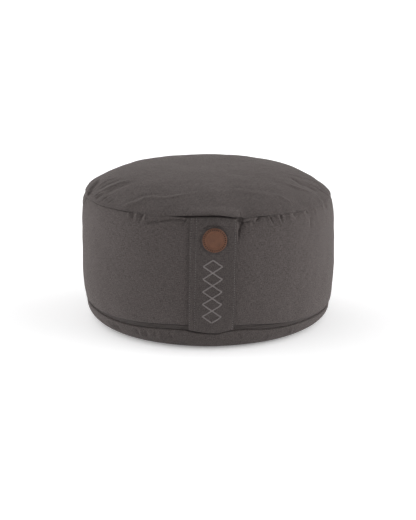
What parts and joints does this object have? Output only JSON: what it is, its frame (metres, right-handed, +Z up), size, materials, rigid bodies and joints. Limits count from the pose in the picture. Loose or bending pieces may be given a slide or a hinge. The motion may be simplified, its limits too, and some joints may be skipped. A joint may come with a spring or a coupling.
{
  "type": "zafu meditation cushion",
  "caption": "Round firm floor cushion with a crowned top, a deep wall, a zip round its base, and a flat carry strap that bears a leather disc.",
  "frame": {"origin": "middle of the flat on the underside that the cushion rests on", "axes": "+Z up through the middle of the crown; -Y points out of the front, where the strap is; +X to the right seen from the front"},
  "size_m": [0.3005, 0.3041, 0.1824],
  "materials": {
    "canvas": "matte cotton twill, warm charcoal grey",
    "strap_canvas": "matte cotton twill, doubled, warm charcoal grey",
    "zip_tape": "woven polyester tape, dark grey",
    "zip_coil": "satin nylon, near black",
    "leather": "waxed brown leather, satin"
  },
  "bodies": {
    "root": {"cushion_body": "canvas", "zip_tape_lower": "zip_tape", "zip_tape_upper": "zip_tape", "zip_coil": "zip_coil", "carry_strap": "strap_canvas", "leather_patch": "leather"}
  },
  "joints": []
}
